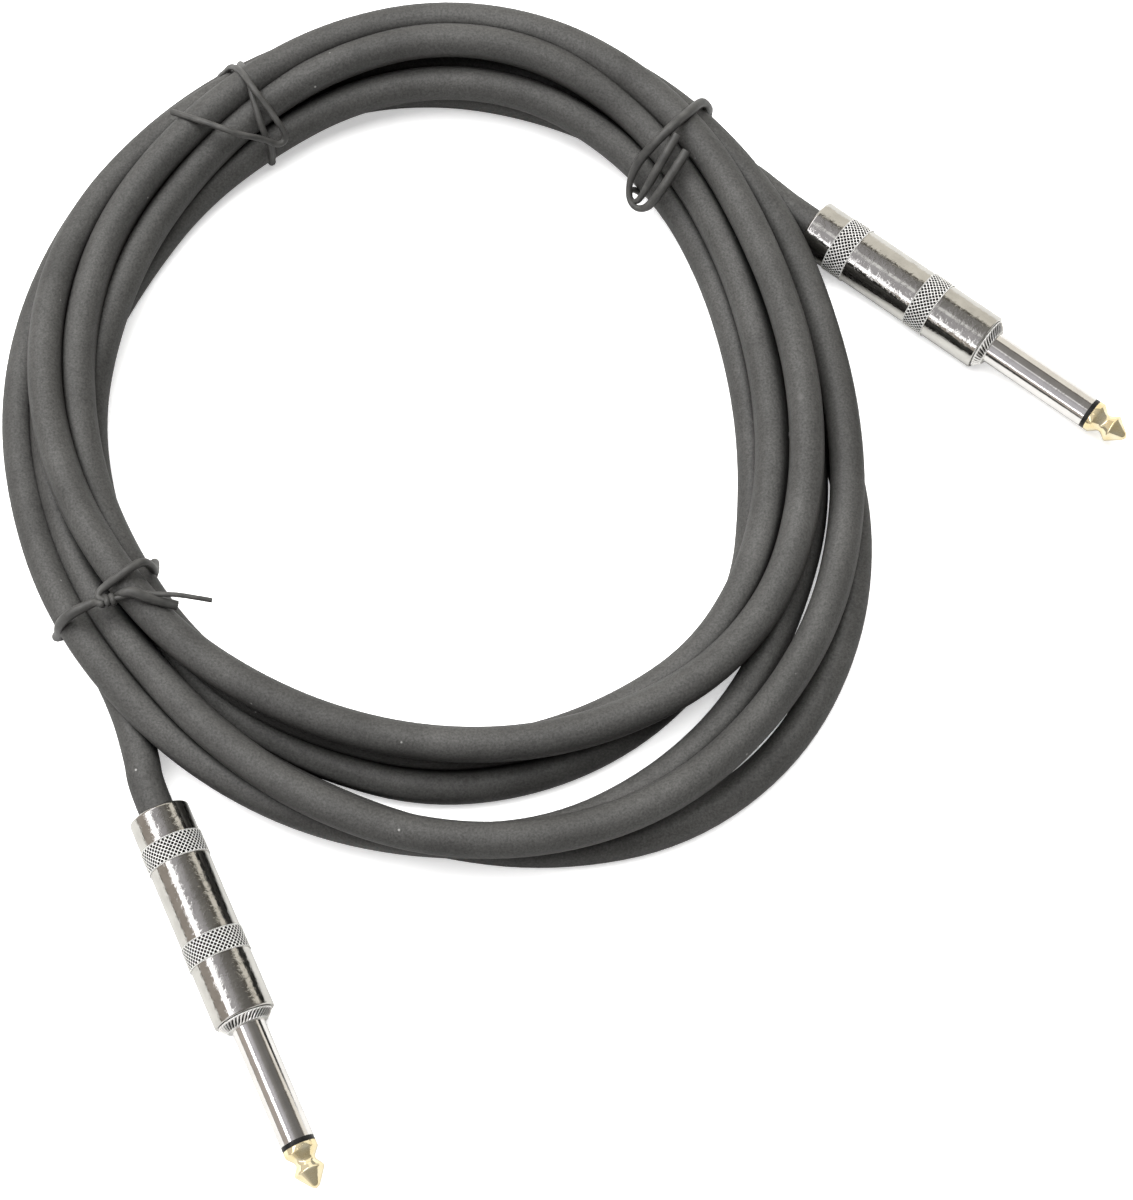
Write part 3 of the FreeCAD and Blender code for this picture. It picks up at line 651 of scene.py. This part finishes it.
def makeBarrel(number):
    b = barrel
    groove = b["radius"] - b["grooveDepth"]
    profile = [(0, b["cableHole"], b["holeRounding"]), (0, b["radius"], b["rearRounding"])]
    for start in b["bandStarts"]:
        end = start + b["bandWidth"]
        profile += [(start, b["radius"], b["grooveRounding"]), (start, groove, 0),
                    (end, groove, 0), (end, b["radius"], b["grooveRounding"])]
    profile += [(b["length"], b["radius"], b["frontRounding"]), (b["length"], b["threadBore"], b["boreRounding"]),
                (b["threadBack"], b["threadBore"], 0), (b["threadBack"], b["chamber"], 0),
                (b["rearWall"], b["chamber"], 0), (b["rearWall"], b["cableHole"], 0)]
    shape = bmesh.new()
    turnProfile(shape, profile, 96)
    for start in b["bandStarts"]:
        addShape(shape, knurledBand(start))
    piece = placedPiece(f"barrel_{number}_turned", shape, number)
    return finishPiece(piece, f"barrel_{number}", "nickel_barrel", f"barrel_{number}")


sleeve = {
    "bore": 2.1, "shank": 3.175, "shankEnd": 66.85, "bossBack": 34.35,
    "threadRoot": 3.6, "threadCrest": 4.0, "pitch": 0.75, "threadStart": 0.35, "threadSunk": 0.1,
    "threadFlat": (0.42, 0.58), "threadTurns": 9, "threadSteps": 36,
    "collarBack": 42.35, "collarFront": 43.85, "collar": 5.2, "collarSeat": 3.7, "collarInside": 0.6,
    # along, radius and tooth depth of each rim of the collar's cone
    "collarRims": ((0.12, 5.2, 0.0), (0.3, 5.14, 0.8), (0.75, 4.75, 1.0), (1.2, 4.32, 1.0),
                   (1.42, 4.06, 0.5), (1.5, 3.9, 0.0), (1.5, 3.1, 0.0)),
    # toothRelief and valleyFall give the relief number, which the nickel turns into painted highlight on the teeth and
    # painted shade in the valleys
    "teeth": 40, "toothDepth": 0.34, "slant": 15.0, "toothRelief": 0.9, "valleyFall": 2.6,
}


def collarTeeth():
    # a low cone round the shank with slanting teeth
    s = sleeve
    ring = bmesh.new()
    relief = ring.verts.layers.float.new("relief")
    place = Matrix.Translation((s["collarBack"] * mm, 0, 0)) @ Matrix.Rotation(math.pi / 2, 4, "Y")
    bmesh.ops.create_circle(ring, cap_ends=False, radius=s["collar"] * mm, segments=s["teeth"] * 2, matrix=place)
    start = ring.edges[:]
    rims = start
    for vert in ring.verts:
        vert[relief] = s["toothRelief"]
    for along, wide, depth in s["collarRims"]:
        made = bmesh.ops.extrude_edge_only(ring, edges=rims)
        rims = [item for item in made["geom"] if isinstance(item, bmesh.types.BMEdge)]
        for vert in newVerts(made):
            angle = math.atan2(vert.co.z, vert.co.y)
            inValley = round(angle / math.tau * s["teeth"] * 2) % 2
            out = wide - s["toothDepth"] * depth * inValley
            vert[relief] = s["toothRelief"] - s["valleyFall"] * depth * inValley
            vert.co = Vector((s["collarBack"] + along, out * math.cos(angle), out * math.sin(angle))) * mm
    for vert in ring.verts:
        share = (vert.co.x / mm - s["collarBack"]) / (s["collarFront"] - s["collarBack"])
        vert.co = Matrix.Rotation(math.radians(s["slant"] * share), 3, "X") @ vert.co
    inner = newVerts(bmesh.ops.extrude_edge_only(ring, edges=start))
    bmesh.ops.scale(ring, verts=inner, vec=(1, s["collarInside"], s["collarInside"]))
    bmesh.ops.bridge_loops(ring, edges=[edge for edge in ring.edges if edge.is_boundary])
    bmesh.ops.recalc_face_normals(ring, faces=ring.faces[:])
    return ring


def bossThread():
    # a V ridge wound round the boss
    s = sleeve
    thread = bmesh.new()
    start = s["bossBack"] + s["threadStart"]
    root = s["threadRoot"] - s["threadSunk"]
    rise, fall = s["threadFlat"]
    section = ((0, root), (s["pitch"] * rise, s["threadCrest"]),
               (s["pitch"] * fall, s["threadCrest"]), (s["pitch"], root))
    corners = [thread.verts.new(((start + along) * mm, 0, radius * mm)) for along, radius in section]
    edges = [thread.edges.new(pair) for pair in zip(corners, corners[1:])]
    bmesh.ops.spin(thread, geom=corners + edges, cent=(0, 0, 0), axis=(1, 0, 0),
                   dvec=(s["pitch"] * mm / s["threadSteps"], 0, 0), angle=-math.tau * s["threadTurns"],
                   steps=s["threadSteps"] * s["threadTurns"], use_merge=False, use_duplicate=False)
    bmesh.ops.remove_doubles(thread, verts=thread.verts[:], dist=mergeGap)
    bmesh.ops.recalc_face_normals(thread, faces=thread.faces[:])
    return thread


def makeSleeve(number):
    s = sleeve
    seatFront = s["collarFront"] - 0.1
    profile = [(s["bossBack"], s["bore"], 0.15), (s["bossBack"], s["threadRoot"], 0.3),
               (s["collarBack"], s["threadRoot"], 0), (s["collarBack"], s["collarSeat"], 0),
               (seatFront, s["collarSeat"], 0), (seatFront, s["shank"], 0),
               (s["shankEnd"], s["shank"], 0.06), (s["shankEnd"], s["bore"], 0)]
    shape = bmesh.new()
    turnProfile(shape, profile, 72)
    addShape(shape, collarTeeth())
    addShape(shape, bossThread())
    piece = placedPiece(f"sleeve_{number}_turned", shape, number)
    return finishPiece(piece, "cable", "nickel_shank", f"sleeve_{number}")


# the tip's head and waist, its rod through the sleeve and the rivet behind
tip = {
    "start": 67.75, "end": 75.85, "band": 1.1, "radius": 3.175,
    "neckStart": 2.6, "neckWidth": 0.6, "neck": 1.9,
    "headLand": 0.3, "headCone": 3.2, "head": 2.85, "pointBack": 0.35, "point": 0.72,
    "rod": 1.25, "rivet": 1.9, "rivetBack": 31.95, "rivetFront": 32.55,
}


def makeTip(number):
    t = tip
    neckBack = t["start"] + t["neckStart"]
    headFront = t["end"] - t["headCone"]
    profile = [
        (t["rivetBack"], 0, 0), (t["rivetBack"], t["rivet"], 0.25),
        (t["rivetFront"], t["rivet"], 0), (t["rivetFront"], t["rod"], 0),
        (t["start"], t["rod"], 0), (t["start"], t["radius"], 0.06), (t["start"] + t["band"], t["radius"], 0.15),
        (neckBack, t["neck"], 0.3), (neckBack + t["neckWidth"], t["neck"], 0.3),
        (headFront - t["headLand"], t["head"], 0.18), (headFront, t["head"], 0.18),
        (t["end"] - t["pointBack"], t["point"], 0.3), (t["end"], 0, 0),
    ]
    shape = bmesh.new()
    turnProfile(shape, profile, 72)
    piece = placedPiece(f"tip_{number}_turned", shape, number)
    return finishPiece(piece, "cable", "gold_contact", f"tip_contact_{number}")


# the black ring behind the tip, and its tube in the sleeve's bore
ring = {"back": 33.95, "ringBack": 66.85, "front": 67.75, "rodHole": 1.3, "tube": 2.05, "radius": 3.145}


def makeRing(number):
    r = ring
    profile = [(r["back"], r["rodHole"], 0), (r["back"], r["tube"], 0), (r["ringBack"], r["tube"], 0),
               (r["ringBack"], r["radius"], 0.05), (r["front"], r["radius"], 0.05), (r["front"], r["rodHole"], 0)]
    shape = bmesh.new()
    turnProfile(shape, profile, 72)
    piece = placedPiece(f"ring_{number}_turned", shape, number)
    return finishPiece(piece, "cable", "black_plastic", f"tip_insulator_{number}")


plugPieces = {}
for number in plugPlaces:
    plugPieces[number] = [makeBarrel(number), makeSleeve(number), makeTip(number), makeRing(number)]
print("plugs turned")


# hidden works of the plugs keep their solids and get their finish
innerLooks = {
    "ground_lug": "tinned_brass", "rear_insulator": "black_plastic", "tip_lug": "tinned_brass",
    "core_insulation": "core_plastic", "centre_conductor": "copper", "tip_solder": "solder",
    "shield_pigtail": "copper", "ground_solder": "solder", "liner": "liner_plastic",
}
for part, look in innerLooks.items():
    for number in plugPlaces:
        node = frame["nodes"][f"{part}_{number}"]
        node.data.materials.clear()
        node.data.materials.append(looks[look])
print("inner works finished")


# the three twist ties are one wire each, and a point is (x, y, z)
# and, where the wire is squeezed or lies edge on, its share of the thickness
ties = {
    1: {"thickness": 1.95, "points": [
        (16.5, 89.6, 19.9), (13.9, 85.5, 18.1), (11.5, 82.4, 14.8, 0.95), (10.2, 81.5, 11.5, 0.8),
        (8.6, 80.1, 9.0, 0.6), (7.2, 81.5, 8.0, 0.55), (7.3, 84.6, 7.5, 0.6), (11.1, 85.3, 2.2, 0.8),
        (14.7, 89.6, 1.0, 0.9), (20.5, 96.4, 1.0, 0.9), (22.8, 100.4, 2.6), (23.7, 102.6, 7),
        (23.1, 100.2, 12.5), (21.7, 99.2, 16.7), (19.1, 94.8, 20.0), (15.4, 90.9, 20.8),
        (12.1, 88.1, 19.3), (9.3, 86.7, 15.4), (7.8, 85.5, 12.0, 0.9), (7.0, 83.4, 10.0, 0.65),
        (7.0, 80.9, 8.7, 0.6), (8.4, 79.1, 8.4, 0.65), (10.6, 78.6, 9.6, 0.85), (12.5, 79.2, 13.2),
        (14.7, 81.1, 16.6), (18.4, 86.3, 19.1)]},
    2: {"thickness": 1.3, "points": [
        (-67.3, 101.5, 0.95), (-72.2, 109.1, 0.95), (-74.1, 114.3, 3.0), (-72.8, 112.2, 10.0),
        (-71.4, 107.7, 15.0), (-69.7, 103.3, 17.8), (-68.9, 99.5, 18.3), (-67.9, 96.3, 17.2),
        (-67.0, 93.7, 15.3), (-66.1, 92.4, 13.2), (-65.5, 91.9, 10.0, 1.25), (-65.9, 92.1, 6.0, 1.3),
        (-66.4, 92.5, 3.2, 1.1), (-66.1, 94.2, 0.95), (-70.0, 102.3, 0.95), (-75.1, 109.7, 0.95),
        (-78.2, 112.0, 4.0), (-75.7, 109.8, 10.0), (-74.0, 108.6, 14.5), (-71.6, 105.5, 18.0),
        (-69.4, 101.5, 20.0), (-67.9, 99.2, 19.9), (-65.8, 97.0, 18.2), (-63.7, 94.4, 16.5),
        (-62.2, 92.8, 14.2), (-62.7, 91.9, 12.8), (-64.1, 91.0, 13.2), (-65.5, 91.1, 14.6),
        (-67.9, 90.7, 16.8), (-70.9, 90.4, 18.4), (-74.2, 91.1, 19.6), (-79.3, 93.2, 19.3),
        (-85.0, 96.5, 16.8)]},
    3: {"thickness": 1.9, "points": [
        (-78.6, -9.6, 17.8), (-81.6, -9.2, 19.1), (-84.4, -8.8, 20.6, 1.05), (-86.8, -7.9, 21.2, 1.15),
        (-88.4, -8.2, 21.0, 0.8), (-90.1, -7.9, 18.6, 0.6), (-90.2, -9.5, 18.9, 0.6),
        (-90.2, -9.8, 20.4, 0.6), (-90.7, -8.3, 20.0, 0.6), (-91.2, -8.1, 18.4, 0.6),
        (-91.3, -9.7, 18.7, 0.6), (-91.3, -10.0, 20.2, 0.6), (-91.7, -8.5, 19.8, 0.6),
        (-92.3, -8.3, 18.2, 0.6), (-92.4, -9.9, 18.5, 0.6), (-92.4, -10.1, 20.0, 0.6),
        (-93.9, -9.0, 18.4, 0.9), (-95.6, -9.7, 18.0, 1.05), (-97.7, -10.7, 17.7, 1.1),
        (-99.6, -11.7, 16.9, 1.1), (-101.3, -12.2, 13.8, 1.1), (-102.1, -12.0, 9.0), (-103.9, -11.3, 4.0),
        (-101.1, -9.1, 1.4), (-97.7, -6.9, 1.0, 0.9), (-91.0, -2.7, 1.0, 0.9), (-87.6, -0.6, 1.6, 0.9),
        (-85.3, 1.5, 5.0), (-84.6, 2.6, 10), (-83.6, -1.9, 14.6, 0.9), (-84.2, -1.3, 18.6, 0.85),
        (-85.7, -2.0, 20.9, 0.9), (-88.9, -4.7, 21.3, 0.95), (-91.4, -6.1, 19.9, 0.9),
        (-93.1, -7.3, 19.3, 0.75), (-93.4, -8.8, 19.6, 0.6), (-91.3, -9.3, 19.7, 0.5),
        (-88.6, -8.8, 20.4, 0.5), (-85.3, -7.8, 20.4, 0.5), (-82.1, -8.2, 20.2, 0.5),
        (-78.6, -8.2, 20.1, 0.5), (-75.1, -8.6, 19.6, 0.5), (-71.9, -9.0, 19.0, 0.5)]},
}
for number, tie in ties.items():
    places = [Vector(point[:3]) * mm for point in tie["points"]]
    wire = roundWire(f"tie_{number}", places, tie["thickness"], 4)
    for knot, point in zip(wire.data.splines[0].points, tie["points"]):
        knot.radius = point[3] if len(point) > 3 else 1.0
    finishPiece(wire, "cable", "tie_plastic", f"twist_tie_{number}")
print("ties wound")


# plug 2's pieces hang on the cord's far end
farPieces = plugPieces[2] + [frame["nodes"][f"{part}_2"] for part in innerLooks]
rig.cord(cordPiece, exit=tuple(onPlug(1, 0)), length=cord["length"], diameter=cord["thickness"] * mm,
        far_end="plug", stiffness="medium", lay="coiled", with_pieces=farPieces)


# a pale floor and a soft studio round it
studio = {
    "floorSize": 6.0, "floor": (0.90, 0.90, 0.895), "floorBounce": (0.42, 0.42, 0.41), "floorGlow": 0.45,
    # the ceiling's tones from its far side to the window, and how far it spans
    "ceiling": [(0.0, (0.15, 0.145, 0.137)), (0.16, (0.20, 0.193, 0.182)), (0.32, (0.245, 0.237, 0.228)),
                (0.44, (0.38, 0.37, 0.38)), (0.64, (0.47, 0.46, 0.48))],
    "ceilingSpan": (-0.74, 0.0),
    "cornice": (0.13, 0.12, 0.105), "corniceSpan": (-0.17, -0.10),
    "lamp": (0.85, 0.85, 0.85), "lampEdge": 0.9945,
    "wall": (0.80, 0.765, 0.69), "window": (2.5, 2.5, 2.6), "lowWall": (0.40, 0.36, 0.325),
    "skirting": (0.10, 0.095, 0.085), "skirtingTop": 0.05, "eastStart": -0.3,
    "backdrop": (0.93, 0.93, 0.925, 1),
    # the planes through the object that part the room
    "windowTop": (-1.0, 0.467, -0.639), "windowFoot": (1.0, -0.373, 1.076), "wallSide": (-0.354, 1.0, -0.642),
    "lampPlace": (-0.286, -0.079, 0.955),
    # lamps that light and aren't mirrored: place, size and power
    "lamps": {"overhead": ((-0.1, 0.25, 1.6), 1.5, 52.0), "corner": ((-1.0, 0.75, 1.15), 0.9, 26.0)},
}


def makeFloor():
    shape = bmesh.new()
    bmesh.ops.create_grid(shape, x_segments=1, y_segments=1, size=studio["floorSize"] / 2)
    mesh = bpy.data.meshes.new("floor")
    shape.to_mesh(mesh)
    shape.free()
    floor = bpy.data.objects.new("floor", mesh)
    bpy.context.scene.collection.objects.link(floor)
    material, tree, shader, place = startMaterial("floor_paper")
    pale = studio["floor"]
    paper = rampOn(tree, noiseOn(tree, place, 40, 2), [(0.3, tuple(c * 0.99 for c in pale)), (0.7, pale)])
    # bright to the eye as in an overexposed picture, dimmer in what it throws back
    seen = tree.nodes.new("ShaderNodeLightPath").outputs["Is Camera Ray"]
    tree.links.new(mixOn(tree, seen, studio["floorBounce"], paper), shader.inputs["Base Color"])
    shader.inputs["Emission Color"].default_value = (1, 1, 1, 1)
    tree.links.new(rangeOn(tree, seen, 0.0, studio["floorGlow"]), shader.inputs["Emission Strength"])
    shader.inputs["Roughness"].default_value = 0.8
    shader.inputs["Specular IOR Level"].default_value = 0.2
    mesh.materials.append(material)
    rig.stage(floor)


def stepOn(tree, value, edge, soft):
    return rangeOn(tree, value, 0.0, 1.0, edge - soft, edge + soft)


def dotOn(tree, direction, weights):
    dot = tree.nodes.new("ShaderNodeVectorMath")
    dot.operation = "DOT_PRODUCT"
    tree.links.new(direction, dot.inputs[0])
    dot.inputs[1].default_value = weights
    return dot.outputs["Value"]


def makeWorld():
    world = bpy.data.worlds.new("studio")
    bpy.context.scene.world = world
    world.use_nodes = True
    tree = world.node_tree
    tree.nodes.clear()
    direction = tree.nodes.new("ShaderNodeTexCoord").outputs["Generated"]
    # a ceiling with a lamp brightens towards a window in the west, and a pale wall stands north and east
    windowTop = dotOn(tree, direction, studio["windowTop"])
    windowFoot = dotOn(tree, direction, studio["windowFoot"])
    wallSide = dotOn(tree, direction, studio["wallSide"])
    lamp = dotOn(tree, direction, studio["lampPlace"])
    level = dotOn(tree, direction, (0.0, 0.0, 1.0))
    eastward = dotOn(tree, direction, (1.0, 0.0, 0.0))
    over = rampOn(tree, rangeOn(tree, windowTop, 0.0, 1.0, *studio["ceilingSpan"]), studio["ceiling"])
    over = mixOn(tree, stepOn(tree, lamp, studio["lampEdge"], 0.002), over, studio["lamp"])
    aboveFoot = stepOn(tree, level, studio["skirtingTop"], 0.02)
    low = mixOn(tree, aboveFoot, studio["skirting"], studio["lowWall"])
    lit = mixOn(tree, stepOn(tree, windowFoot, 0.0, 0.015), low, studio["window"])
    west = mixOn(tree, stepOn(tree, windowTop, 0.0, 0.02), over, lit)
    nearWall = rangeOn(tree, wallSide, 0.0, 1.0, *studio["corniceSpan"])
    cornice = mixOn(tree, nearWall, west, studio["cornice"])
    walled = mixOn(tree, stepOn(tree, wallSide, 0.0, 0.015), cornice, studio["wall"])
    colour = mixOn(tree, stepOn(tree, eastward, studio["eastStart"], 0.02), west, walled)
    room = tree.nodes.new("ShaderNodeBackground")
    tree.links.new(colour, room.inputs["Color"])
    # the camera itself sees a plain backdrop
    backdrop = tree.nodes.new("ShaderNodeBackground")
    backdrop.inputs["Color"].default_value = studio["backdrop"]
    rays = tree.nodes.new("ShaderNodeLightPath")
    blend = tree.nodes.new("ShaderNodeMixShader")
    tree.links.new(rays.outputs["Is Camera Ray"], blend.inputs[0])
    tree.links.new(room.outputs[0], blend.inputs[1])
    tree.links.new(backdrop.outputs[0], blend.inputs[2])
    output = tree.nodes.new("ShaderNodeOutputWorld")
    tree.links.new(blend.outputs[0], output.inputs["Surface"])


def makeLamp(name, place, size, power):
    light = bpy.data.lights.new(name, "AREA")
    light.shape = "SQUARE"
    light.size = size
    light.energy = power
    lamp = bpy.data.objects.new(name, light)
    lamp.location = place
    lamp.rotation_euler = (-Vector(place)).to_track_quat("-Z", "Y").to_euler()
    lamp.visible_glossy = False
    bpy.context.scene.collection.objects.link(lamp)


makeFloor()
makeWorld()
for name, (place, size, power) in studio["lamps"].items():
    makeLamp(name, place, size, power)
bpy.context.scene.view_settings.view_transform = "Standard"
print("studio lit")

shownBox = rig.bounds()
with open("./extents.json", "w") as file:
    json.dump({"cad": [list(corner) for corner in cadBox], "shown": [list(corner) for corner in shownBox]}, file)
